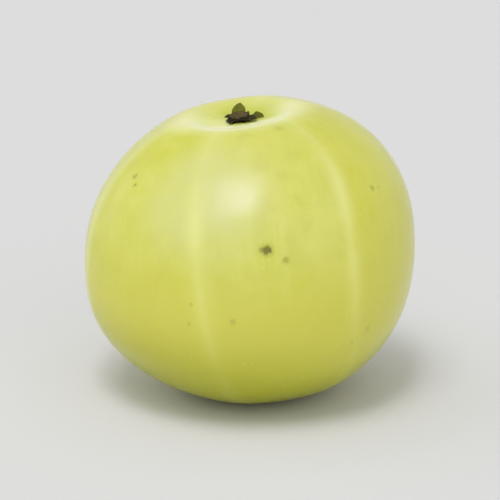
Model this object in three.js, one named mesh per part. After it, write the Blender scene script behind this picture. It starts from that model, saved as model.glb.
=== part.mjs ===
// An Indian gooseberry (amla, the fruit of Phyllanthus emblica), one whole picked fruit. It is a slightly
// flattened globe with six flatter sides, which meet in faint edges from end to end. The stalk end, on top,
// has a wide shallow dimple that holds the dried calyx and the broken stump of the stalk. The tip end, below,
// has a small pit in the middle of the flat spot that the fruit rests on.
//
// Millimetres, +Z up along the core of the fruit. The origin is on the resting face, under the middle.

import * as THREE from "three";

// Driving dimensions of the fruit. Its widest ring is the seam between an upper and a lower dome.
const WIDTH = 36.3;
const UPPER_DOME = 16.6; // height over the widest ring, before the dimple is pressed in
const LOWER_DOME = 15.8; // depth under the widest ring, before the flat spot is pressed in
const SQUARENESS = 2.19; // exponent of the superellipse that the outline follows: 2 is an ellipse
const REST_RADIUS = 4; // edge of the flat spot
const PIT_RADIUS = 1.6; // pit left by the flower's style, in the middle of the flat spot
const PIT_DEPTH = 0.7;
const DIMPLE_DEPTH = 1.65;
const DIMPLE_SPREAD = 5.2; // distance from the core at which the dimple has lost 63% of its depth
const DIMPLE_SHARPNESS = 3.5; // higher has a flatter floor and a crisper lip

// The sides, and the ways in which a grown fruit is uneven.
const SIDES = 6;
const FLATTENING = 0.34; // of the middle of each side
const EDGE_SHARPNESS = 1.15; // 1 meets in a sharp edge, 2 in a round one
const FIRST_EDGE = THREE.MathUtils.degToRad(-108); // -90 degrees is the front, towards -Y
const STALK_END_LEAN = new THREE.Vector2(-1.5, 2.1); // how far the stalk end lies off the core
const SHOULDER_SLOPE = 0.118; // the shoulder on the +X side is the higher one
const SLOPE_START = 0.6; // share of the height from which upwards the fruit slopes in full
const FULLER_SIDE = { share: 0.008, angle: THREE.MathUtils.degToRad(20) };
const OVAL = { share: 0.009, angle: THREE.MathUtils.degToRad(12) };

// The dried calyx: pointed lobes that lie on the dimple, round the stump of the stalk.
const CALYX_GAP = 0.3;
const CALYX_LOBES = 6;
const CALYX_TIP_RADIUS = 2.25;
const CALYX_NOTCH_RADIUS = 1.35; // core to the notch between two lobes
const LOBE_POINTEDNESS = 1.5; // higher is a slimmer lobe
const LOBE_MIDDLE_RADIUS = 1.6;
const CALYX_EDGE = 0.15; // thickness at the lobes' tips
const CALYX_MIDDLE = 0.3; // thickness half-way along the lobes
const CALYX_THICKNESS = 0.35; // thickness beside the stump
const STUMP_RADIUS = 0.8;
const STUMP_FLARE = 0.2; // the stump's foot is this much wider than its top
const STUMP_HEIGHT = 0.3; // above the calyx

// Facets.
const AROUND = 72;
const PIT_RINGS = 3;
const LOWER_RINGS = 14;
const UPPER_RINGS = 20;
const UPPER_CROWDING = 1.25; // above 1, the upper rings lie closer together in the dimple
const CALYX_AROUND = 48;
const CALYX_RINGS = 4; // under the lobes

const REST_DEPTH = superellipse(REST_RADIUS, LOWER_DOME); // widest ring to the resting face
const HEIGHT = REST_DEPTH + UPPER_DOME; // resting face to the top of the upper dome

// Height of a superellipse that is one dome high, at a distance from the core.
function superellipse(radius, dome) {
  return dome * (1 - (radius / (WIDTH / 2)) ** SQUARENESS) ** (1 / SQUARENESS);
}

// Radius of the same superellipse at an angle from the core, which reaches a right angle at the widest ring.
function outlineRadius(angle) {
  return (WIDTH / 2) * Math.sin(angle) ** (2 / SQUARENESS);
}

// Height of the upper skin over the resting face, with the dimple.
function upperSkin(radius) {
  const dimple = DIMPLE_DEPTH * Math.exp(-((radius / DIMPLE_SPREAD) ** DIMPLE_SHARPNESS));
  return REST_DEPTH + superellipse(radius, UPPER_DOME) - dimple;
}

// Half of the fruit's section, from the bottom of the pit, over the flat spot and the side, to the dimple.
function fruitProfile() {
  const profile = [];
  for (let i = 0; i < PIT_RINGS; i++) {
    const share = i / PIT_RINGS;
    profile.push(new THREE.Vector2(PIT_RADIUS * share, PIT_DEPTH * (1 - share ** 2)));
  }
  profile.push(new THREE.Vector2(PIT_RADIUS, 0));
  const restAngle = Math.asin((REST_RADIUS / (WIDTH / 2)) ** (SQUARENESS / 2));
  for (let i = 0; i < LOWER_RINGS; i++) {
    const radius = outlineRadius(THREE.MathUtils.lerp(restAngle, Math.PI / 2, i / LOWER_RINGS));
    profile.push(new THREE.Vector2(radius, REST_DEPTH - superellipse(radius, LOWER_DOME)));
  }
  for (let i = 0; i < UPPER_RINGS; i++) {
    const radius = outlineRadius((Math.PI / 2) * (1 - i / UPPER_RINGS) ** UPPER_CROWDING);
    profile.push(new THREE.Vector2(radius, upperSkin(radius)));
  }
  profile.push(new THREE.Vector2(0, upperSkin(0)));
  return profile;
}

// How far a flattened side lies inside the round fruit, at an angle round the core.
function flattening(angle) {
  const offEdge = Math.abs(Math.sin((SIDES / 2) * (angle - FIRST_EDGE)));
  return FLATTENING * offEdge ** EDGE_SHARPNESS;
}

// Moves a point of an even fruit to where it lies on the grown one.
function growUnevenly(point) {
  const angle = Math.atan2(point.y, point.x);
  const fullness =
    1 +
    FULLER_SIDE.share * Math.cos(angle - FULLER_SIDE.angle) +
    OVAL.share * Math.cos(2 * (angle - OVAL.angle));
  const slope = SHOULDER_SLOPE * THREE.MathUtils.smoothstep(point.z, 0, SLOPE_START * HEIGHT);
  const lean = (point.z / HEIGHT) ** 2;
  point.z += slope * point.x;
  point.x = point.x * fullness + STALK_END_LEAN.x * lean;
  point.y = point.y * fullness + STALK_END_LEAN.y * lean;
}

// Turns a profile round the core, which becomes +Z, and passes each point through move.
function turned(profile, segments, move) {
  const geometry = new THREE.LatheGeometry(profile, segments);
  geometry.rotateX(Math.PI / 2);
  geometry.rotateZ(FIRST_EDGE + Math.PI / 2);
  const positions = geometry.getAttribute("position");
  const point = new THREE.Vector3();
  for (let i = 0; i < positions.count; i++) {
    point.fromBufferAttribute(positions, i);
    move(point);
    positions.setXYZ(i, point.x, point.y, point.z);
  }
  geometry.computeVertexNormals();
  return geometry;
}

function fruitGeometry() {
  return turned(fruitProfile(), AROUND, (point) => {
    const radius = Math.hypot(point.x, point.y);
    if (radius > REST_RADIUS) {
      const fade = 1 - (REST_RADIUS / radius) ** 2;
      const inward = 1 - (fade * flattening(Math.atan2(point.y, point.x))) / radius;
      point.x *= inward;
      point.y *= inward;
    }
    growUnevenly(point);
  });
}

// The calyx's section through the middle of a lobe. Its underside follows the dimple, a gap above it.
function calyxProfile() {
  const underside = (radius) => upperSkin(radius) + CALYX_GAP;
  const top = underside(0) + CALYX_THICKNESS;
  const profile = [];
  for (let i = 0; i <= CALYX_RINGS; i++) {
    const radius = (CALYX_TIP_RADIUS * i) / CALYX_RINGS;
    profile.push(new THREE.Vector2(radius, underside(radius)));
  }
  profile.push(new THREE.Vector2(CALYX_TIP_RADIUS, underside(CALYX_TIP_RADIUS) + CALYX_EDGE));
  profile.push(new THREE.Vector2(LOBE_MIDDLE_RADIUS, underside(LOBE_MIDDLE_RADIUS) + CALYX_MIDDLE));
  profile.push(new THREE.Vector2(STUMP_RADIUS + STUMP_FLARE, top));
  profile.push(new THREE.Vector2(STUMP_RADIUS, top + STUMP_HEIGHT));
  profile.push(new THREE.Vector2(0, top + STUMP_HEIGHT));
  return profile;
}

// Between the lobes, the calyx's edge is pulled in towards the stump, down the dimple's slope.
function calyxGeometry() {
  return turned(calyxProfile(), CALYX_AROUND, (point) => {
    const radius = Math.hypot(point.x, point.y);
    const outward = (radius - STUMP_RADIUS) / (CALYX_TIP_RADIUS - STUMP_RADIUS);
    if (outward > 0) {
      const angle = Math.atan2(point.y, point.x) - FIRST_EDGE;
      const lobe = Math.abs(Math.cos((CALYX_LOBES / 2) * angle)) ** LOBE_POINTEDNESS;
      const edge = THREE.MathUtils.lerp(CALYX_NOTCH_RADIUS, CALYX_TIP_RADIUS, lobe);
      const pulled = THREE.MathUtils.lerp(STUMP_RADIUS, edge, outward);
      point.x *= pulled / radius;
      point.y *= pulled / radius;
      point.z += upperSkin(pulled) - upperSkin(radius);
    }
    growUnevenly(point);
  });
}

function subPart(name, geometry, material) {
  const mesh = new THREE.Mesh(geometry, new THREE.MeshStandardMaterial(material));
  mesh.name = name;
  return mesh;
}

const fruit = subPart("fruit", fruitGeometry(), { color: 0xcdd060, roughness: 0.34, metalness: 0 });
const calyx = subPart("dried_calyx", calyxGeometry(), { color: 0x4a3a1e, roughness: 0.85, metalness: 0 });

// The origin lies under the middle of the fruit's box.
fruit.geometry.computeBoundingBox();
const middle = fruit.geometry.boundingBox.getCenter(new THREE.Vector3());
const gooseberry = new THREE.Group();
gooseberry.add(fruit, calyx);
gooseberry.position.set(-middle.x, -middle.y, 0);

export default gooseberry;
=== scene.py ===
"""The looks of an Indian gooseberry (amla): its skin, and the dry calyx in the dimple at its stalk end.

Metres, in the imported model's frame: +Z runs up the core from the tip end to the stalk end, -Y is the front,
and the shoulder on the +X side is the higher one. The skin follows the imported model's own formula on a far
finer mesh, and is fitted to that model's box.
"""

import math
from dataclasses import dataclass

import bpy
import numpy as np
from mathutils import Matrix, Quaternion, Vector


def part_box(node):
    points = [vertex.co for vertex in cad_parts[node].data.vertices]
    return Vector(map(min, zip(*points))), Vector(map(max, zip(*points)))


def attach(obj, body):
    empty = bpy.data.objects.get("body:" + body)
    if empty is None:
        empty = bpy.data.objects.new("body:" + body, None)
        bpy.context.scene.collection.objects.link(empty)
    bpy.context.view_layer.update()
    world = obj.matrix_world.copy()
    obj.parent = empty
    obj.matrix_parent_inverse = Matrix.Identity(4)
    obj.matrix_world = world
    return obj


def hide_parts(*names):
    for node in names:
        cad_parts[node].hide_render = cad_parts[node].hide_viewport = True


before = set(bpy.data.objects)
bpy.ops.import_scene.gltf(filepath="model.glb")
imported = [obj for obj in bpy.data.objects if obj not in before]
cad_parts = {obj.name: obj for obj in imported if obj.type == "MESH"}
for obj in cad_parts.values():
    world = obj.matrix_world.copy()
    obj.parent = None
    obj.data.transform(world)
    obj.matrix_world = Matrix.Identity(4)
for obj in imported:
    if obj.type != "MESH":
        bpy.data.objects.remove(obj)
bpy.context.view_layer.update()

MM = 0.001

# The even fruit: an upper and a lower dome on the widest ring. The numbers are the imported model's, but the
# pit is softer and so starts further out.
HALF_WIDTH = 18.15 * MM
UPPER_DOME = 16.6 * MM  # height over the widest ring, before the dimple is pressed in
LOWER_DOME = 15.8 * MM  # depth under the widest ring, before the flat spot is pressed in
SQUARENESS = 2.19  # exponent of the superellipse that the outline follows: 2 is an ellipse
REST_RADIUS = 4 * MM  # edge of the flat spot
REST_SOFTNESS = 0.06 * MM  # how far that edge is rounded off
PIT_RADIUS = 1.9 * MM
PIT_DEPTH = 0.7 * MM
SCAR_RADIUS = 0.45 * MM  # the flower's style left a scar, raised in the bottom of the pit
SCAR_HEIGHT = 0.22 * MM
DIMPLE_DEPTH = 1.65 * MM
DIMPLE_SPREAD = 5.2 * MM  # distance from the core at which the dimple has lost 63% of its depth
DIMPLE_SHARPNESS = 3.5  # higher has a flatter floor and a crisper lip

# Six flatter sides, which meet in faint edges from end to end, and the ways in which the fruit grew uneven.
SIDES = 6
FIRST_EDGE = math.radians(-108)  # direction of one of the edges: -90 degrees is the front
FLATTENING = 0.34 * MM  # of the middle of each side
EDGE_SHARPNESS = 1.15  # 1 meets in a sharp edge, 2 in a round one
CREASE_DEPTH = 0.03 * MM  # a fine line runs along each edge
CREASE_HALF_WIDTH = 0.4 * MM
STALK_END_LEAN = (-1.5 * MM, 2.1 * MM)  # how far the stalk end lies off the core
SHOULDER_SLOPE = 0.118
SLOPE_START = 0.6  # share of the height from which upwards the fruit slopes in full
FULLER_SIDE = (0.008, math.radians(20))  # how much fuller one side is, as a share, and its direction
OVAL = (0.009, math.radians(12))  # the same for the long way of the plan
SWELL = 0.05 * MM  # gentle waves all over the skin
SWELL_LENGTHS = (9 * MM, 20 * MM)
SWELL_SEED = 7

# Small radial folds round the stalk end and the tip end.
PUCKER_DEPTH = 0.022 * MM
PUCKER_RADIUS = 2.8 * MM  # distance from the core at which they are deepest
PUCKER_SPREAD = 1.4 * MM
PUCKER_START = (0.6 * MM, 2 * MM)  # nearer to the core they fade out
PUCKER_AT_TIP = 0.4  # share of the depth that is left at the tip end
PUCKER_FOLDS = ((17, 1.2, 1.0), (29, 4, 0.7), (11, 2.5, 0.5))  # number in a turn, phase and height

# For each edge, from the first on: how strongly its pale line shows, and how far it drifts off a straight
# meridian, in radians. A drift has a part for the whole line, one that is added at the tip end and taken off
# at the stalk end, and one that is added at both ends.
LINE_STRENGTHS = (0.8, 0.8, 0.75, 0.9, 0.55, 0.8)
EDGE_DRIFTS = (
    (0.036, 0.12, 0.0),
    (-0.055, 0.03, 0.25),
    (0.01, -0.04, 0.05),
    (0.02, 0.05, -0.06),
    (-0.02, -0.06, 0.04),
    (0.02, 0.04, 0.05),
)
SIDE_DEPTHS_AND_SHADE = (0.0, 0.65, 0.2, 0.5, 0.15, 0.5)  # how much deeper in colour the side after each edge is: partly the sides' own colour, and partly painted shade, most on the side right of the front, which faces away from the light
SIDE_BLEND = 0.07  # share of a side over which its colour changes to the next one's
LINE_HALF_WIDTH = 0.35 * MM  # the pale line along an edge, and the softer band that it lies in
BAND_HALF_WIDTH = 1.1 * MM

# Mesh of the skin.
RINGS = 204
COLUMNS_PER_SIDE = 64
EDGE_CROWDING = 0.55  # 0 spaces the columns evenly, 1 crowds them most at the edges
END_CROWDING = 0.075  # 0 spaces the rings evenly, 0.16 crowds them most at the two ends
NEAR_END = 1e-6  # distance of the last points from the two ends, in radians
BOX_RINGS = 241  # another mesh, on which the fruit's own box is measured
BOX_COLUMNS = 361
BOX_END = 0.001  # distance of its last rings from the two ends, in radians


@dataclass
class Sepal:
    """A dry sepal: lengths in millimetres, angles in degrees."""

    direction: float  # 0 is the right, -90 the front
    length: float
    half_width: float
    foot: float  # height of the foot over the skin
    rise: float  # from there to the tip
    bend: float = 0  # sideways
    twist: float = 0  # of the tip round the sepal's length
    slimness: float = 0.8  # above 1 for a drawn-out tip
    waist: float = 0  # how far the sepal narrows between foot and blade, from 0 to 1
    olive: float = 0  # how much of its green is left, from 0 to 1


SEPALS = [
    Sepal(1, 2.15, 0.64, foot=0.22, rise=-0.10, bend=-6, twist=36, slimness=0.3, waist=0.7, olive=0.7),
    Sepal(50, 1.45, 0.55, foot=0.20, rise=0.15, bend=10, slimness=0.7, olive=0.2),
    Sepal(93, 1.40, 0.82, foot=0.22, rise=1.10, bend=-8, slimness=0.36, olive=0.9),
    Sepal(172, 1.15, 0.76, foot=0.24, rise=0.25, bend=10, twist=-6, slimness=0.7, olive=0.1),
    Sepal(-130, 1.55, 0.76, foot=0.10, rise=0.04, bend=10, twist=6, slimness=0.65),
    Sepal(-52, 1.95, 1.05, foot=0.14, rise=0.16, bend=12, twist=4, slimness=0.55),
]
SEPAL_START = 0.5 * MM  # from the core
SEPAL_FOOT_WIDTH = 0.62  # share of the half width that it has at its foot
SEPAL_WAIST = (0.36, 0.2)  # middle and spread of the waist, as shares of the length
SEPAL_THICKNESS = 0.13 * MM
SEPAL_THINNING = 0.65  # share of the thickness that is lost by the tip
SEPAL_FOLD = 0.35  # how far the edges turn up, as a share of the half width
SEPAL_FOLD_SHARPNESS = 1.7  # higher keeps the middle flatter
SEPAL_TWIST = (0.1, 0.7)  # it twists between these shares of its length
SEPAL_RISE_LAG = 1.6  # above 1, a sepal rises less at first and more at its tip
SEPAL_WRINKLE = 0.035 * MM
SEPAL_WRINKLE_LENGTHS = (0.35, 1.1)  # in millimetres
SEPAL_WRINKLE_START = 0.3  # share of the length from which outwards it is wrinkled in full
SEPAL_SEED = 20  # of the first one's wrinkles
SEPAL_TIP_WIDTH = 0.03 * MM
SEPAL_ROWS = 40
SEPAL_COLUMNS = 36

# The stump of the stalk, from its foot to the hollow in its broken end: radius and height over the skin, in
# millimetres.
STUMP_PROFILE = [
    (1.60, -0.12), (1.40, 0.05), (1.24, 0.14), (1.15, 0.30), (1.12, 0.46), (1.04, 0.56), (0.88, 0.55),
    (0.66, 0.46), (0.38, 0.43), (0.13, 0.47), (0.0, 0.48),
]
STUMP_TOP = (0.2 * MM, 0.55 * MM)  # heights between which the bark gives way to the broken end
STUMP_BROKEN = (0.42, 0.62)  # the same as shares of the profile, for the colours
STUMP_SLANT = 0.06 * MM  # the stalk broke off lower towards the front
STUMP_RAGGEDNESS = 0.05 * MM
STUMP_RAGGED_LENGTHS = (0.25 * MM, 0.9 * MM)
STUMP_SEED = 31
STUMP_RIDGES = ((9, 1, 0.05), (16, 3, 0.035))  # number in a turn, phase, and height as a share of the radius
STUMP_RIDGE_LOSS = 0.6  # share of the ridges' height that is lost at the broken end
STUMP_RINGS = 60
STUMP_COLUMNS = 96
NEAR_CORE = 1e-7  # distance of the middle points from the core, in metres

WAVES = 9  # that are summed for an uneven surface


# ---- Shapes


def dome(radius, height):
    """Height of a superellipse, height high, at a distance from the core."""
    share = np.clip(radius / HALF_WIDTH, 0, 1)
    return height * (1 - share**SQUARENESS) ** (1 / SQUARENESS)


REST_DEPTH = float(dome(REST_RADIUS, LOWER_DOME))
HEIGHT = REST_DEPTH + UPPER_DOME


def smoothstep(low, high, value):
    """0 up to low, 1 from high on, and smooth in between."""
    share = np.clip((value - low) / (high - low), 0, 1)
    return share * share * (3 - 2 * share)


def bell(distance, spread):
    """1 at no distance, falling to nothing at about twice the spread."""
    return np.exp(-((distance / spread) ** 2))


def ripples(angle, terms):
    """Sum of waves round the core. Each term is its number of waves in a turn, its phase and its height."""
    return sum(height * np.sin(number * angle + phase) for number, phase, height in terms)


def waves(points, seed, shortest, longest):
    """Sum of waves in random directions, mostly from -1 to 1. points has its coordinates in its last axis."""
    chance = np.random.default_rng(seed)
    total = np.zeros(points.shape[:-1])
    for _ in range(WAVES):
        direction = chance.normal(size=points.shape[-1])
        direction /= np.linalg.norm(direction)
        wavelength = chance.uniform(shortest, longest)
        total += np.sin(points @ direction * (2 * math.pi / wavelength) + chance.uniform(0, 2 * math.pi))
    return total / math.sqrt(WAVES)


def drift(grain, latitude):
    """How far the grain of the fruit runs off a straight meridian, in radians."""
    tipwards = np.cos(latitude)  # 1 at the tip end, -1 at the stalk end
    total = 0  # of the edges' drifts, each of which fades out by the next edge
    for edge, (middle, slope, bow) in enumerate(EDGE_DRIFTS):
        off_edge = np.abs(np.angle(np.exp(1j * (grain - FIRST_EDGE - edge * 2 * math.pi / SIDES))))
        share = np.cos(np.clip(off_edge * SIDES / 4, 0, math.pi / 2)) ** 2
        total = total + share * (middle + slope * tipwards + bow * tipwards**2)
    return total


class GrownFruit:
    """The surface of the fruit. latitude runs from 0 at the tip end to pi at the stalk end, and grain is the
    angle round the core that a point would have if the edges were straight."""

    def __init__(self, low, high):
        """low and high are the corners of the box that the fruit is fitted to."""
        self.stretch, self.shift = np.ones(3), np.zeros(3)
        grain = np.linspace(0, 2 * math.pi, BOX_COLUMNS)
        latitude = np.linspace(BOX_END, math.pi - BOX_END, BOX_RINGS)
        points = self.at(latitude[:, None], grain[None, :]).reshape(-1, 3)
        bottom, top = points.min(axis=0), points.max(axis=0)
        self.stretch = (np.array(high) - np.array(low)) / (top - bottom)
        self.shift = np.array(low) - bottom * self.stretch

    def radius(self, latitude):
        """Distance of the even fruit's skin from the core."""
        return HALF_WIDTH * np.sin(latitude) ** (2 / SQUARENESS)

    def height(self, latitude, radius):
        """Height of the even fruit's skin, with the flat spot, the pit and the dimple."""
        rise = np.abs(np.cos(latitude)) ** (2 / SQUARENESS)
        lower = REST_DEPTH - LOWER_DOME * rise
        lower = (lower + np.sqrt(lower**2 + REST_SOFTNESS**2)) / 2
        pit = PIT_DEPTH * np.clip(1 - (radius / PIT_RADIUS) ** 2, 0, 1) ** 2
        pit = pit - SCAR_HEIGHT * bell(radius, SCAR_RADIUS)
        dimple = DIMPLE_DEPTH * np.exp(-((radius / DIMPLE_SPREAD) ** DIMPLE_SHARPNESS))
        upper = REST_DEPTH + UPPER_DOME * rise - dimple
        return np.where(latitude < math.pi / 2, lower + pit, upper)

    def off_edge(self, grain):
        """0 on an edge, 1 half-way between two."""
        return np.abs(np.sin(SIDES / 2 * (grain - FIRST_EDGE)))

    def beside_edge(self, radius, grain):
        """Distance to the nearest edge, along the skin."""
        return np.arcsin(self.off_edge(grain)) / (SIDES / 2) * radius

    def inward(self, radius, grain):
        """How far the skin lies inside the even fruit's."""
        fade = np.clip(1 - (REST_RADIUS / np.maximum(radius, REST_RADIUS)) ** 2, 0, 1)
        crease = CREASE_DEPTH * bell(self.beside_edge(radius, grain), CREASE_HALF_WIDTH)
        return fade * (FLATTENING * self.off_edge(grain) ** EDGE_SHARPNESS + crease)

    def pucker(self, radius, grain):
        """Height of the small radial folds round each end."""
        folds = PUCKER_DEPTH * ripples(grain, PUCKER_FOLDS)
        return folds * bell(radius - PUCKER_RADIUS, PUCKER_SPREAD) * smoothstep(*PUCKER_START, radius)

    def at(self, latitude, grain):
        """Points of the skin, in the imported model's frame."""
        radius = self.radius(latitude)
        height = self.height(latitude, radius)
        angle = grain + drift(grain, latitude)
        drawn = radius - self.inward(radius, grain)
        even = np.stack([drawn * np.cos(angle), drawn * np.sin(angle), height + 0 * angle], axis=-1)
        around = np.clip(np.sin(latitude), 0, 1) ** 2
        swell = SWELL * around * waves(even, SWELL_SEED, *SWELL_LENGTHS)
        even[..., :2] *= 1 + (swell / HALF_WIDTH)[..., None]
        even[..., 2] += np.where(latitude > math.pi / 2, 1, PUCKER_AT_TIP) * self.pucker(radius, grain)
        return self.grow_unevenly(even) * self.stretch + self.shift

    def spot(self, latitude, grain):
        """One point of the skin, from angles in degrees."""
        return tuple(self.at(np.radians(latitude), np.radians(grain)))

    def grow_unevenly(self, even):
        """Moves points of the even fruit to where they lie on the grown one."""
        x, y, z = even[..., 0], even[..., 1], even[..., 2]
        angle = np.arctan2(y, x)
        fuller = FULLER_SIDE[0] * np.cos(angle - FULLER_SIDE[1])
        oval = OVAL[0] * np.cos(2 * (angle - OVAL[1]))
        slope = SHOULDER_SLOPE * smoothstep(0, SLOPE_START * HEIGHT, z)
        lean = (z / HEIGHT) ** 2
        grown_x = x * (1 + fuller + oval) + STALK_END_LEAN[0] * lean
        grown_y = y * (1 + fuller + oval) + STALK_END_LEAN[1] * lean
        return np.stack([grown_x, grown_y, z + slope * x], axis=-1)

    def over_dimple(self, x, y, lift):
        """Points that stand lift off the skin of the stalk end, over a place given from the core."""
        radius = np.hypot(x, y)
        angle = np.arctan2(y, x)
        latitude = math.pi - np.arcsin((radius / HALF_WIDTH) ** (SQUARENESS / 2))
        up = np.array([-SHOULDER_SLOPE, 0, 1]) / math.hypot(SHOULDER_SLOPE, 1)
        return self.at(latitude, angle - drift(angle, latitude)) + lift[..., None] * up


# ---- Meshes


def mesh_object(name, points, faces):
    """A smoothly shaded mesh in the scene."""
    mesh = bpy.data.meshes.new(name)
    mesh.from_pydata([tuple(p) for p in points], [], faces)
    mesh.validate()
    mesh.update()
    mesh.shade_smooth()
    thing = bpy.data.objects.new(name, mesh)
    bpy.context.scene.collection.objects.link(thing)
    return thing


def keep_attribute(thing, name, values):
    """Keeps a number for each vertex, for the materials to read."""
    layer = thing.data.attributes.new(name, "FLOAT", "POINT")
    layer.data.foreach_set("value", np.ascontiguousarray(values, dtype=np.float32).ravel())


def grid_faces(rows, columns, start=0):
    """Faces of a grid of points, row by row, whose last column joins the first."""
    faces = []
    for row in range(rows - 1):
        for column in range(columns):
            beside = (column + 1) % columns
            below, above = start + row * columns, start + (row + 1) * columns
            faces.append((below + column, below + beside, above + beside, above + column))
    return faces


def make_skin(fruit):
    """The skin, with a point in the middle of each end, and the attributes that its material reads."""
    ring = np.linspace(0, 1, RINGS + 2)[1:-1]
    latitude = math.pi * (ring - END_CROWDING * np.sin(2 * math.pi * ring))
    share = np.arange(COLUMNS_PER_SIDE) / COLUMNS_PER_SIDE
    share = share - EDGE_CROWDING * np.sin(2 * math.pi * share) / (2 * math.pi)
    grain = (FIRST_EDGE + (np.arange(SIDES)[:, None] + share[None, :]) * 2 * math.pi / SIDES).ravel()
    columns = len(grain)
    grain, latitude = np.meshgrid(grain, latitude)
    rings = fruit.at(latitude, grain).reshape(-1, 3)
    tip = fruit.at(np.array([NEAR_END]), np.zeros(1))
    stalk = fruit.at(np.array([math.pi - NEAR_END]), np.zeros(1))
    points = np.concatenate([rings, tip, stalk])
    faces = grid_faces(RINGS, columns)
    last = (RINGS - 1) * columns
    for column in range(columns):
        beside = (column + 1) % columns
        faces.append((beside, column, len(rings)))
        faces.append((last + column, last + beside, len(rings) + 1))
    skin = mesh_object("skin", points, faces)

    def keep(name, values, at_tip, at_stalk):
        keep_attribute(skin, name, np.concatenate([values.ravel(), [at_tip, at_stalk]]))

    radius = fruit.radius(latitude)
    beside_edge = fruit.beside_edge(radius, grain)
    stalk_side = latitude > math.pi / 2
    widest = HALF_WIDTH / MM
    turn = (grain - FIRST_EDGE) * SIDES / (2 * math.pi)  # the whole numbers are the edges
    nearest = np.round(turn).astype(int)
    strength = np.array(LINE_STRENGTHS)[nearest % SIDES]
    before, after = (np.array(SIDE_DEPTHS_AND_SHADE)[side % SIDES] for side in (nearest - 1, nearest))
    past_edge = smoothstep(-SIDE_BLEND / 2, SIDE_BLEND / 2, turn - nearest)
    keep("side_depth_and_shade", before + (after - before) * past_edge, 0, 0)
    keep("line", strength * bell(beside_edge, LINE_HALF_WIDTH), 0, 0)
    keep("band", strength * bell(beside_edge, BAND_HALF_WIDTH), 0, 0)
    keep("upwards", latitude / math.pi, 0, 1)
    keep("from_stalk", np.where(stalk_side, radius, HALF_WIDTH) / MM, widest, 0)
    keep("from_tip", np.where(stalk_side, HALF_WIDTH, radius) / MM, 0, widest)
    keep("grain_x", np.cos(grain), 0, 0)
    keep("grain_y", np.sin(grain), 0, 0)
    return skin


def make_sepals(fruit):
    """The six sepals as flat tubes that are closed at both ends, in one mesh."""
    loop = 2 * math.pi * np.arange(SEPAL_COLUMNS) / SEPAL_COLUMNS
    along, loop = np.meshgrid(np.linspace(0, 1, SEPAL_ROWS), loop, indexing="ij")
    across = np.cos(loop)
    points, faces = [], []
    for number, sepal in enumerate(SEPALS):
        outline = SEPAL_FOOT_WIDTH + (1 - SEPAL_FOOT_WIDTH) * np.sin(math.pi * along)
        outline = outline * (1 - along**2) ** sepal.slimness
        outline = outline * (1 - sepal.waist * bell(along - SEPAL_WAIST[0], SEPAL_WAIST[1]))
        width = np.maximum(sepal.half_width * MM * outline, SEPAL_TIP_WIDTH)
        thickness = SEPAL_THICKNESS / 2 * (1 - SEPAL_THINNING * along) * np.sin(loop)
        fold = SEPAL_FOLD * width * np.abs(across) ** SEPAL_FOLD_SHARPNESS
        place = np.stack([along * sepal.length, across * width / MM], axis=-1)
        wrinkle = SEPAL_WRINKLE * waves(place, SEPAL_SEED + number, *SEPAL_WRINKLE_LENGTHS)
        wrinkle = wrinkle * smoothstep(0, SEPAL_WRINKLE_START, along)
        twist = np.radians(sepal.twist) * smoothstep(*SEPAL_TWIST, along)
        heading = np.radians(sepal.direction + sepal.bend * along**2)
        out = SEPAL_START + along * sepal.length * MM
        sideways = across * width * np.cos(twist)
        x = out * np.cos(heading) - sideways * np.sin(heading)
        y = out * np.sin(heading) + sideways * np.cos(heading)
        lift = sepal.foot * MM + sepal.rise * MM * along**SEPAL_RISE_LAG + thickness + fold + wrinkle
        lift = lift + across * width * np.sin(twist)
        start = len(points) * SEPAL_ROWS * SEPAL_COLUMNS
        points.append(fruit.over_dimple(x, y, lift).reshape(-1, 3))
        faces += grid_faces(SEPAL_ROWS, SEPAL_COLUMNS, start)
        last = start + (SEPAL_ROWS - 1) * SEPAL_COLUMNS
        faces.append(tuple(range(start, start + SEPAL_COLUMNS))[::-1])
        faces.append(tuple(range(last, last + SEPAL_COLUMNS)))
    sepals = mesh_object("sepals", np.concatenate(points), faces)
    keep_attribute(sepals, "along", np.tile(along.ravel(), len(SEPALS)))
    keep_attribute(sepals, "sideways", np.tile(np.abs(across).ravel(), len(SEPALS)))
    keep_attribute(sepals, "olive", np.repeat([sepal.olive for sepal in SEPALS], along.size))
    return sepals


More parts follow.
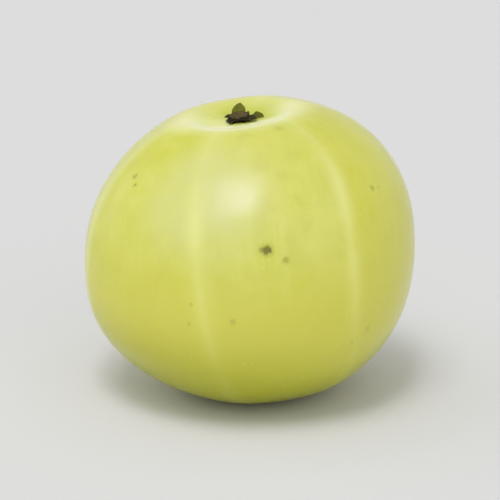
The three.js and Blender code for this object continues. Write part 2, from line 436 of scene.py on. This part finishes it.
def make_stump(fruit):
    """The stump of the stalk, with ridged bark and a ragged broken end."""
    knots = np.linspace(0, 1, len(STUMP_PROFILE))
    share = np.linspace(0, 1, STUMP_RINGS + 1)[:-1]
    profile = np.array(STUMP_PROFILE) * MM
    radius = np.interp(share, knots, profile[:, 0])
    height = np.interp(share, knots, profile[:, 1])
    angle = 2 * math.pi * np.arange(STUMP_COLUMNS) / STUMP_COLUMNS
    angle, radius = np.meshgrid(angle, radius)
    height = np.repeat(height[:, None], STUMP_COLUMNS, axis=1)
    top = smoothstep(*STUMP_TOP, height)
    place = np.stack([np.cos(angle) * radius, np.sin(angle) * radius], axis=-1)
    radius = radius * (1 + ripples(angle, STUMP_RIDGES) * (1 - STUMP_RIDGE_LOSS * top))
    height = height + top * STUMP_RAGGEDNESS * waves(place, STUMP_SEED, *STUMP_RAGGED_LENGTHS)
    height = height + top * STUMP_SLANT * np.sin(angle)
    x, y = radius * np.cos(angle), radius * np.sin(angle)
    rings = fruit.over_dimple(x, y, height).reshape(-1, 3)
    zero = np.zeros(1)
    centre = fruit.over_dimple(zero + NEAR_CORE, zero, zero + profile[-1, 1])
    foot = fruit.over_dimple(zero + NEAR_CORE, zero, zero + profile[0, 1])
    points = np.concatenate([rings, centre, foot])
    faces = grid_faces(STUMP_RINGS, STUMP_COLUMNS)
    last = (STUMP_RINGS - 1) * STUMP_COLUMNS
    for column in range(STUMP_COLUMNS):
        beside = (column + 1) % STUMP_COLUMNS
        faces.append((last + column, last + beside, len(rings)))
        faces.append((beside, column, len(rings) + 1))
    stump = mesh_object("stalk_stump", points, faces)
    broken = np.repeat(smoothstep(*STUMP_BROKEN, share)[:, None], STUMP_COLUMNS, axis=1)
    keep_attribute(stump, "broken", np.concatenate([broken.ravel(), [1, 0]]))
    return stump


# ---- Materials


class Nodes:
    """The node tree of a new material or world. Most calls add a node and return its output."""

    def __init__(self, owner):
        owner.use_nodes = True
        self.owner = owner
        self.tree = owner.node_tree
        self.tree.nodes.clear()

    def add(self, kind, *inputs, output=0, **settings):
        """Adds a node with these settings, and feeds the inputs to its first sockets."""
        node = self.tree.nodes.new(kind)
        for name, value in settings.items():
            setattr(node, name, value)
        for socket, value in zip(node.inputs, inputs):
            self.feed(socket, value)
        return node.outputs[output]

    def feed(self, socket, value):
        """Links an output to a socket, or sets a plain value on it."""
        if isinstance(value, bpy.types.NodeSocket):
            self.tree.links.new(value, socket)
        elif value is not None:
            socket.default_value = value

    def attribute(self, name):
        return self.add("ShaderNodeAttribute", attribute_name=name, output="Fac")

    def place(self):
        return self.add("ShaderNodeTexCoord", output="Object")

    def maths(self, operation, first, second):
        return self.add("ShaderNodeMath", first, second, operation=operation)

    def times(self, value, *factors):
        for factor in factors:
            value = self.maths("MULTIPLY", value, factor)
        return value

    def plus(self, first, second):
        return self.maths("ADD", first, second)

    def vector(self, x, y, z):
        return self.add("ShaderNodeCombineXYZ", x, y, z)

    def distance(self, first, second):
        return self.add("ShaderNodeVectorMath", first, second, operation="DISTANCE", output="Value")

    def noise(self, where, size, detail=3.0, roughness=0.5):
        """Noise from 0 to 1 whose features are about size across."""
        node = self.tree.nodes.new("ShaderNodeTexNoise")
        self.feed(node.inputs["Vector"], where)
        node.inputs["Scale"].default_value = 1 / size
        node.inputs["Detail"].default_value = detail
        node.inputs["Roughness"].default_value = roughness
        return node.outputs["Fac"]

    def dots(self, where, spacing, radius, share):
        """1 on soft dots that are strewn over the surface. share of the possible dots are there."""
        node = self.tree.nodes.new("ShaderNodeTexVoronoi")
        self.feed(node.inputs["Vector"], where)
        node.inputs["Scale"].default_value = 1 / spacing
        chance = self.add("ShaderNodeSeparateColor", node.outputs["Color"])
        dot = self.spread(node.outputs["Distance"], start=radius / spacing, full=0.5 * radius / spacing)
        return self.times(dot, self.maths("LESS_THAN", chance, share))

    def spread(self, value, start, full, least=0.0, most=1.0):
        """Goes smoothly from least, which it is as long as value hasn't reached start, to most, which it is
        once value is past full. full may be lower than start."""
        node = self.tree.nodes.new("ShaderNodeMapRange")
        node.interpolation_type = "SMOOTHSTEP"
        for socket, number in zip(node.inputs, (value, start, full, least, most)):
            self.feed(socket, number)
        return node.outputs["Result"]

    def mix(self, share, first, second):
        """The first colour where share is 0 and the second where it is 1."""
        node = self.tree.nodes.new("ShaderNodeMix")
        node.data_type = "RGBA"
        colour_sockets = node.inputs[6], node.inputs[7]  # the ones between are for numbers and vectors
        for socket, value in zip((node.inputs[0], *colour_sockets), (share, first, second)):
            self.feed(socket, value)
        return node.outputs[2]

    def bump(self, height, depth, under=None):
        """Normals of a surface that is depth higher where height is 1, on top of the bump under it."""
        node = self.tree.nodes.new("ShaderNodeBump")
        node.inputs["Distance"].default_value = depth
        self.feed(node.inputs["Height"], height)
        self.feed(node.inputs["Normal"], under)
        return node.outputs["Normal"]

    def end(self, kind, shader):
        """Ends the tree in an output node. Returns its material or world."""
        self.feed(self.tree.nodes.new(kind).inputs["Surface"], shader)
        return self.owner

    def surface(self, **inputs):
        """Ends the tree in a Principled shader. Names of inputs have _ for their spaces."""
        shader = self.tree.nodes.new("ShaderNodeBsdfPrincipled")
        for name, value in inputs.items():
            self.feed(shader.inputs[name.replace("_", " ")], value)
        return self.end("ShaderNodeOutputMaterial", shader.outputs["BSDF"])


def material_nodes(name):
    """The empty node tree of a new material."""
    return Nodes(bpy.data.materials.new(name))


def colour(red, green, blue):
    """Linear light, from 0 to 1."""
    return (red, green, blue, 1.0)


SKIN_MIDDLE = colour(0.614, 0.63, 0.115)
SKIN_GREENER = colour(0.585, 0.62, 0.07)
SKIN_YELLOWER = colour(0.64, 0.64, 0.115)
# painted sheen: pale skin round the highlight on the front shoulder
SKIN_PAINTED_SHEEN = colour(0.632, 0.654, 0.22)
# the lower half and the tip end: partly their own deeper colour, partly painted shade
SKIN_LOW_AND_SHADE = colour(0.632, 0.612, 0.077)
SKIN_DEEP_AND_SHADE = colour(0.403, 0.415, 0.004)
# the sides' deeper colour: partly their own, partly painted shade
SKIN_SIDE_AND_SHADE = colour(0.59, 0.575, 0.02)
SKIN_STREAK = colour(0.68, 0.68, 0.14)
SKIN_MOTTLE = colour(0.56, 0.555, 0.085)
SKIN_BAND = colour(0.75, 0.755, 0.165)
SKIN_LINE = colour(0.78, 0.785, 0.25)
# painted light on the dimple's rim, and a painted highlight on its lip
SKIN_PAINTED_RIM_LIGHT = colour(0.92, 0.95, 0.40)
SKIN_PAINTED_LIP_HIGHLIGHT = colour(0.96, 0.96, 0.50)
# the dimple's floor: partly its own green, partly painted shade
SKIN_FLOOR_AND_SHADE = colour(0.48, 0.55, 0.04)
SKIN_STAIN = colour(0.20, 0.15, 0.03)
SPECK_BROWN = colour(0.10, 0.085, 0.008)
SPECK_OLIVE = colour(0.33, 0.33, 0.02)
PORE_PALE = colour(0.80, 0.80, 0.36)

# How densely colours lie over the ones under them, from 0 to 1.
SIDE_DENSITY = 0.6
BAND_DENSITY = 0.9
LINE_DENSITY = 0.3
PORE_DENSITY = 0.28
PAINTED_RIM_LIGHT_DENSITY = 0.75
PAINTED_LIP_HIGHLIGHT_DENSITY = 0.9
FAINT_SPECK_DENSITY = 0.2
HALO_DENSITY = 0.6  # round a speck of strength 1

STREAK_SHORTENING = 0.35  # lower makes the streaks longer
PAINTED_SHADE_TILT = 0.055  # painted shade: the deep colour of the tip end reaches higher on the -X side
PAINTED_SHEEN_MIDDLE = (129, -104)  # latitude and grain in degrees of the middle of the painted sheen round the highlight, where the skin is palest
HALO_OUTER = 1.9  # where a speck's halo starts, and where it shows in full, in radii of the speck
HALO_INNER = 0.6
SPECK_OUTER = 1.1  # the same for the speck itself
SPECK_INNER = 0.4
SPECK_DULLNESS = 0.35  # added to the roughness

# Brown specks: latitude and grain in degrees, radius in millimetres, and strength.
SPECKS = [
    (107.1, -81.3, 0.56, 0.85),
    (107.4, -83.0, 0.44, 0.45),
    (102.6, -74.7, 0.42, 0.35),
    (156.5, -62, 0.50, 0.15),
    (85, -98, 0.34, 0.22),
    (134, -151, 0.40, 0.35),
    (118, -31, 0.36, 0.3),
    (72, -42, 0.42, 0.2),
    (84, 6, 0.45, 0.75),
    (96, 31, 0.25, 0.55),
    (121, 62, 0.40, 0.7),
    (74, 104, 0.50, 0.8),
    (79, 111, 0.22, 0.5),
    (104, 147, 0.35, 0.6),
    (62, -163, 0.35, 0.6),
    (131, -147, 0.22, 0.5),
]


def skin_material(fruit):
    """The skin. upwards runs from 0 at the tip end to 1 at the stalk end, grain_x from -1 on the left to 1 on
    the right, and grain_y from -1 in front to 1 at the back. from_stalk and from_tip are distances from the
    core in millimetres, each at the end that it is named after."""
    nodes = material_nodes("gooseberry_skin")
    place = nodes.place()
    upwards = nodes.attribute("upwards")
    grain_x = nodes.attribute("grain_x")
    grain_y = nodes.attribute("grain_y")
    grain = nodes.vector(grain_x, grain_y, nodes.times(upwards, STREAK_SHORTENING))

    # Slow changes of colour, and a greener left side.
    greener = nodes.spread(nodes.noise(place, size=14 * MM, detail=1), start=0.45, full=0.7)
    skin = nodes.mix(greener, SKIN_MIDDLE, SKIN_GREENER)
    yellower = nodes.spread(nodes.noise(place, size=11 * MM, detail=1), start=0.55, full=0.3)
    skin = nodes.mix(yellower, skin, SKIN_YELLOWER)
    skin = nodes.mix(nodes.spread(grain_x, start=-0.3, full=-0.95, most=0.7), skin, SKIN_GREENER)

    # Faint streaks from end to end, whose size is a share of the fruit's half width, and mottling.
    streaks = nodes.noise(grain, size=0.11, detail=2)
    skin = nodes.mix(nodes.spread(streaks, start=0.5, full=0.72, most=0.5), skin, SKIN_STREAK)
    fine_streaks = nodes.noise(grain, size=0.028, detail=2)
    skin = nodes.mix(nodes.spread(fine_streaks, start=0.5, full=0.75, most=0.32), skin, SKIN_STREAK)
    mottle = nodes.noise(place, size=2.4 * MM, detail=3)
    skin = nodes.mix(nodes.spread(mottle, start=0.5, full=0.32, most=0.5), skin, SKIN_MOTTLE)
    skin = nodes.mix(nodes.spread(mottle, start=0.5, full=0.68, most=0.5), skin, SKIN_STREAK)

    # Some sides are deeper in colour, partly their own and partly painted shade on the side right of the
    # front, which faces away from the light.
    skin = nodes.mix(nodes.times(nodes.attribute("side_depth_and_shade"), SIDE_DENSITY), skin, SKIN_SIDE_AND_SHADE)
    # So is the lower half, and the tip end most of all: partly the fruit's own colour and partly painted
    # shade, which reaches higher on the -X side.
    skin = nodes.mix(nodes.spread(upwards, start=0.62, full=0.44, most=0.9), skin, SKIN_LOW_AND_SHADE)
    tilted = nodes.plus(upwards, nodes.times(grain_x, PAINTED_SHADE_TILT))
    skin = nodes.mix(nodes.spread(tilted, start=0.455, full=0.226), skin, SKIN_DEEP_AND_SHADE)

    # Painted sheen: a pale patch on the front shoulder round the highlight, in place of the glow of the
    # light's reflection.
    off_painted_sheen = nodes.distance(place, fruit.spot(*PAINTED_SHEEN_MIDDLE))
    painted_sheen = nodes.spread(off_painted_sheen, start=10 * MM, full=2 * MM)
    blotches = nodes.spread(nodes.noise(place, size=4 * MM, detail=3), start=0.3, full=0.7, least=0.65)
    skin = nodes.mix(nodes.times(painted_sheen, blotches), skin, SKIN_PAINTED_SHEEN)

    # The lines along the edges, stronger in some places than in others, and fainter towards both ends.
    uneven = nodes.spread(nodes.noise(place, size=6 * MM, detail=2), start=0.3, full=0.6, least=0.55)
    off_tip = nodes.spread(upwards, start=0.33, full=0.55, least=0.12)
    off_stalk = nodes.spread(upwards, start=0.80, full=0.68, least=0.35)
    uneven = nodes.times(uneven, off_tip, off_stalk)
    band = nodes.mix(nodes.spread(upwards, start=0.5, full=0.7), SKIN_BAND, SKIN_LINE)
    skin = nodes.mix(nodes.times(nodes.attribute("band"), uneven, BAND_DENSITY), skin, band)
    skin = nodes.mix(nodes.times(nodes.attribute("line"), uneven, LINE_DENSITY), skin, SKIN_LINE)

    # Pale pores all over.
    pores = nodes.dots(place, spacing=0.9 * MM, radius=0.13 * MM, share=0.6)
    skin = nodes.mix(nodes.times(pores, PORE_DENSITY), skin, PORE_PALE)

    # Painted light: the dimple's rim is paler where light from above catches it, reaching further out in
    # front and weaker at the back.
    from_stalk = nodes.attribute("from_stalk")
    in_front = nodes.spread(grain_y, start=-0.3, full=-1.0)
    off_back = nodes.spread(grain_y, start=0.9, full=-0.1, least=0.22)
    lit_rim = nodes.spread(nodes.plus(from_stalk, in_front), start=9.2, full=5.5)
    skin = nodes.mix(nodes.times(lit_rim, off_back, PAINTED_RIM_LIGHT_DENSITY), skin, SKIN_PAINTED_RIM_LIGHT)

    # Within it, a darker, greener floor, weaker on the left, partly the skin's own colour and partly painted
    # shade in the hollow; a painted highlight on the lip in front, where it catches the light; and a stain
    # round the stalk.
    off_left = nodes.spread(grain_x, start=-0.9, full=-0.2, least=0.35)
    floor = nodes.spread(from_stalk, start=6.0, full=2.2, most=0.9)
    skin = nodes.mix(nodes.times(floor, off_left), skin, SKIN_FLOOR_AND_SHADE)
    outer_lip = nodes.spread(from_stalk, start=7.0, full=4.8)
    inner_lip = nodes.spread(from_stalk, start=1.6, full=3.2)
    skin = nodes.mix(nodes.times(outer_lip, inner_lip, in_front, PAINTED_LIP_HIGHLIGHT_DENSITY), skin, SKIN_PAINTED_LIP_HIGHLIGHT)
    ragged = nodes.spread(nodes.noise(place, size=0.8 * MM), start=0.3, full=0.7, least=-0.35, most=0.35)
    stain = nodes.spread(nodes.plus(from_stalk, ragged), start=1.5, full=0.9, most=0.9)
    skin = nodes.mix(stain, skin, SKIN_STAIN)

    # The tip end: a small brown scar on a paler spot.
    from_tip = nodes.attribute("from_tip")
    skin = nodes.mix(nodes.spread(from_tip, start=2.6, full=1.0, most=0.5), skin, SKIN_BAND)
    skin = nodes.mix(nodes.spread(from_tip, start=0.75, full=0.4, most=0.9), skin, SKIN_STAIN)

    # Faint specks all over, and the listed ones, each in an olive halo and with a ragged edge.
    faint_specks = nodes.dots(place, spacing=3.4 * MM, radius=0.30 * MM, share=0.25)
    skin = nodes.mix(nodes.times(faint_specks, FAINT_SPECK_DENSITY), skin, SPECK_BROWN)
    ragged = nodes.noise(place, size=0.35 * MM, detail=3)
    ragged = nodes.spread(ragged, start=0.25, full=0.75, least=-0.10 * MM, most=0.10 * MM)
    corky = 0.0
    for latitude, angle, radius, strength in SPECKS:
        off_centre = nodes.plus(nodes.distance(place, fruit.spot(latitude, angle)), ragged)
        outer, inner = HALO_OUTER * radius * MM, HALO_INNER * radius * MM
        halo = nodes.spread(off_centre, start=outer, full=inner, most=HALO_DENSITY * strength)
        skin = nodes.mix(halo, skin, SPECK_OLIVE)
        outer, inner = SPECK_OUTER * radius * MM, SPECK_INNER * radius * MM
        speck = nodes.spread(off_centre, start=outer, full=inner, most=strength)
        skin = nodes.mix(speck, skin, SPECK_BROWN)
        corky = nodes.maths("MAXIMUM", speck, corky)

    # The skin's fine grain, soft dents, and dry specks that have sunk in.
    bump = nodes.bump(nodes.noise(place, size=0.45 * MM, detail=2), depth=0.006 * MM)
    bump = nodes.bump(nodes.noise(place, size=2.2 * MM, detail=2), depth=0.03 * MM, under=bump)
    bump = nodes.bump(nodes.maths("SUBTRACT", 1.0, corky), depth=0.05 * MM, under=bump)

    # Glossy, but duller in the dimple and on the specks.
    dull = nodes.noise(place, size=3 * MM, detail=3)
    roughness = nodes.spread(dull, start=0.3, full=0.7, least=0.21, most=0.26)
    roughness = nodes.plus(roughness, nodes.spread(from_stalk, start=5.5, full=3.5, most=0.3))
    roughness = nodes.plus(roughness, nodes.times(corky, SPECK_DULLNESS))
    return nodes.surface(
        Base_Color=skin,
        Roughness=roughness,
        IOR=1.42,
        Subsurface_Weight=0.3,
        Subsurface_Radius=(1.0, 0.9, 0.25),
        Subsurface_Scale=1.6 * MM,
        Normal=bump,
    )


# Of the whole calyx, which is dry and dull.
DRY_ROUGHNESS = {"start": 0.3, "full": 0.7, "least": 0.7, "most": 0.9}
DRY_GLOSS = 0.2

SEPAL_DARK = colour(0.018, 0.014, 0.004)
SEPAL_BROWN = colour(0.045, 0.034, 0.009)
SEPAL_TAN = colour(0.18, 0.14, 0.045)
SEPAL_OLIVE = colour(0.15, 0.16, 0.01)
SEPAL_EDGE_DENSITY = 0.45
VEIN_SHORTENING = 0.5  # lower makes the veins longer


def sepal_material():
    """The dry sepals. along runs from 0 at the foot to 1 at the tip, and sideways from 0 in the middle to 1
    at the edges."""
    nodes = material_nodes("dry_sepal")
    place = nodes.place()
    along = nodes.attribute("along")
    sideways = nodes.attribute("sideways")
    mottle = nodes.noise(place, size=0.5 * MM, detail=4, roughness=0.6)
    lengthwise = nodes.vector(nodes.times(along, VEIN_SHORTENING), sideways, 0.0)
    veins = nodes.noise(lengthwise, size=0.12, detail=2)

    # Dark brown, with tan veins and edges, and olive towards the tip of the greener sepals.
    dry = nodes.mix(nodes.spread(mottle, start=0.4, full=0.7), SEPAL_DARK, SEPAL_BROWN)
    dry = nodes.mix(nodes.spread(veins, start=0.55, full=0.8, most=0.5), dry, SEPAL_TAN)
    edge = nodes.spread(sideways, start=0.75, full=1.0)
    uneven = nodes.spread(mottle, start=0.35, full=0.6)
    dry = nodes.mix(nodes.times(edge, uneven, SEPAL_EDGE_DENSITY), dry, SEPAL_TAN)
    green = nodes.times(nodes.attribute("olive"), nodes.spread(mottle, start=0.25, full=0.6, least=0.55))
    dry = nodes.mix(nodes.times(green, nodes.spread(along, start=0.15, full=0.6)), dry, SEPAL_OLIVE)

    bump = nodes.bump(nodes.noise(place, size=0.12 * MM, detail=3), depth=0.03 * MM)
    bump = nodes.bump(veins, depth=0.03 * MM, under=bump)
    roughness = nodes.spread(mottle, **DRY_ROUGHNESS)
    return nodes.surface(Base_Color=dry, Roughness=roughness, Specular_IOR_Level=DRY_GLOSS, Normal=bump)


BARK_DARK = colour(0.012, 0.009, 0.003)
BARK_BROWN = colour(0.04, 0.029, 0.009)
WOOD_TAN = colour(0.16, 0.12, 0.04)
WOOD_BROWN = colour(0.035, 0.026, 0.008)


def stump_material():
    """The stump. broken is 0 on the bark and 1 on the wood of the broken end."""
    nodes = material_nodes("stalk_bark_and_wood")
    place = nodes.place()
    grain = nodes.noise(place, size=0.35 * MM, detail=4, roughness=0.6)
    fibres = nodes.noise(place, size=0.10 * MM, detail=2)
    bark = nodes.mix(nodes.spread(grain, start=0.42, full=0.7), BARK_DARK, BARK_BROWN)
    wood = nodes.mix(nodes.spread(fibres, start=0.4, full=0.65), WOOD_BROWN, WOOD_TAN)
    dry = nodes.mix(nodes.attribute("broken"), bark, wood)
    bump = nodes.bump(fibres, depth=0.03 * MM)
    bump = nodes.bump(grain, depth=0.05 * MM, under=bump)
    roughness = nodes.spread(grain, **DRY_ROUGHNESS)
    return nodes.surface(Base_Color=dry, Roughness=roughness, Specular_IOR_Level=DRY_GLOSS, Normal=bump)


# ---- The object

fruit = GrownFruit(*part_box("fruit"))

skin = make_skin(fruit)
skin.data.materials.append(skin_material(fruit))
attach(skin, "root")
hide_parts("fruit")

sepals = make_sepals(fruit)
sepals.data.materials.append(sepal_material())
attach(sepals, "root")
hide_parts("dried_calyx")

stump = make_stump(fruit)
stump.data.materials.append(stump_material())
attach(stump, "root")
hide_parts("dried_calyx")


# ---- Floor, light and camera. Lengths are in metres and angles in degrees.

FLOOR_HALF = 6.0
FLOOR_TONE = 0.70
FLOOR_VARIATION = 0.01  # of the tone, either way
FLOOR_PATCH = 0.3  # size of the patches of each tone
HORIZON_BRIGHTNESS = 0.725  # radiance: if it were 1 all over the sky, a white floor would have 1 too
SKY_BRIGHTNESS = 0.47
HORIZON_TOP = 0.12  # sine of the elevation at which the horizon has faded into the sky
HORIZON_FADE = 0.35  # share of that at which it starts to fade
BACKDROP_TOP = 0.65  # the same as HORIZON_TOP behind the object, where the white backdrop stands
BACKDROP_EDGE = 0.7  # the backdrop has its full height in directions whose Y is higher than this
LIGHT_DISTANCE = 5.0
CAMERA_ELEVATION = 18
CAMERA_LENS = 300  # in millimetres
CAMERA_REACH = 50  # how far it sees
FRUIT_SHARE = 0.66  # of the picture's width
TONE_SHOULDER = (0.75, 0.75)  # up to here a tone shows nearly as it is
TONE_TOP = (1.0, 0.9)  # what a tone of 1 shows as

# Softboxes: azimuth and elevation, width, height and roll, as seen from the object, and brightness, which is
# the power of a square metre of the lamp in watts, divided by pi.
SOFTBOXES = {
    "key": (-24, 68, 20, 30, 22, 5.0),
    "key_core": (-10, 65, 8, 20, 12, 7.0),
    "overhead": (-68, 62, 64, 60, 0, 0.2),
    "front_fill": (20, 28, 64, 50, 0, 0.68),
    "left_fill": (-100, 18, 60, 50, 0, 0.65),
}


def aim(thing, target):
    thing.rotation_mode = "QUATERNION"
    thing.rotation_quaternion = (Vector(target) - thing.location).to_track_quat("-Z", "Y")


def unit_vector(azimuth, elevation):
    """Points towards an azimuth, 0 in front and 90 to the right, and an elevation, both in degrees."""
    across, up = math.radians(azimuth), math.radians(elevation)
    return Vector((math.sin(across) * math.cos(up), -math.cos(across) * math.cos(up), math.sin(up)))


def make_softbox(name, target, azimuth, elevation, width, height, roll, brightness):
    light = bpy.data.lights.new(name, "AREA")
    light.shape = "RECTANGLE"
    light.size = 2 * LIGHT_DISTANCE * math.tan(math.radians(width / 2))
    light.size_y = 2 * LIGHT_DISTANCE * math.tan(math.radians(height / 2))
    light.energy = brightness * math.pi * light.size * light.size_y
    lamp = bpy.data.objects.new(name, light)
    bpy.context.scene.collection.objects.link(lamp)
    lamp.location = Vector(target) + unit_vector(azimuth, elevation) * LIGHT_DISTANCE
    aim(lamp, target)
    lamp.rotation_quaternion @= Quaternion((0, 0, 1), math.radians(roll))
    lamp.visible_camera = False


def make_floor():
    corners = [(x * FLOOR_HALF, y * FLOOR_HALF, 0) for x, y in ((-1, -1), (1, -1), (1, 1), (-1, 1))]
    floor = mesh_object("floor", corners, [(0, 1, 2, 3)])
    nodes = material_nodes("studio_floor")
    tones = FLOOR_TONE - FLOOR_VARIATION, FLOOR_TONE + FLOOR_VARIATION
    pale, paler = (colour(tone, tone, tone) for tone in tones)
    tone = nodes.mix(nodes.noise(nodes.place(), size=FLOOR_PATCH), pale, paler)
    floor.data.materials.append(nodes.surface(Base_Color=tone, Roughness=0.9, Specular_IOR_Level=0.2))


def make_world():
    """A white room: bright all round at the height of the horizon and up the backdrop, and dimmer above."""
    nodes = Nodes(bpy.data.worlds.new("studio"))
    where = nodes.add("ShaderNodeTexCoord", output="Generated")
    behind = nodes.add("ShaderNodeSeparateXYZ", where, output="Y")
    height = nodes.add("ShaderNodeSeparateXYZ", where, output="Z")
    top = nodes.spread(behind, start=0.0, full=BACKDROP_EDGE, least=HORIZON_TOP, most=BACKDROP_TOP)
    share = nodes.maths("DIVIDE", height, top)
    brightness = nodes.spread(
        share, start=HORIZON_FADE, full=1.0, least=HORIZON_BRIGHTNESS, most=SKY_BRIGHTNESS
    )
    background = nodes.add("ShaderNodeBackground", colour(1, 1, 1), brightness)
    bpy.context.scene.world = nodes.end("ShaderNodeOutputWorld", background)


def make_camera(middle, width):
    camera = bpy.data.objects.new("camera", bpy.data.cameras.new("camera"))
    bpy.context.scene.collection.objects.link(camera)
    bpy.context.scene.camera = camera
    camera.data.lens = CAMERA_LENS
    distance = width / FRUIT_SHARE * CAMERA_LENS / camera.data.sensor_width
    camera.location = Vector(middle) + unit_vector(0, CAMERA_ELEVATION) * distance
    camera.data.clip_end = CAMERA_REACH
    aim(camera, middle)


def make_tone_curve():
    """Plain tones up to the shoulder, above which bright places are held back as on a camera."""
    view = bpy.context.scene.view_settings
    view.view_transform = "Standard"
    view.use_curve_mapping = True
    points = view.curve_mapping.curves[3].points  # the curve of all three colours together
    points[-1].location = TONE_TOP
    points.new(*TONE_SHOULDER)
    view.curve_mapping.update()


low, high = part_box("fruit")
middle = [(a + b) / 2 for a, b in zip(low, high)]
make_floor()
make_world()
make_camera(middle, high[0] - low[0])
for name, numbers in SOFTBOXES.items():
    make_softbox(name, middle, *numbers)
make_tone_curve()
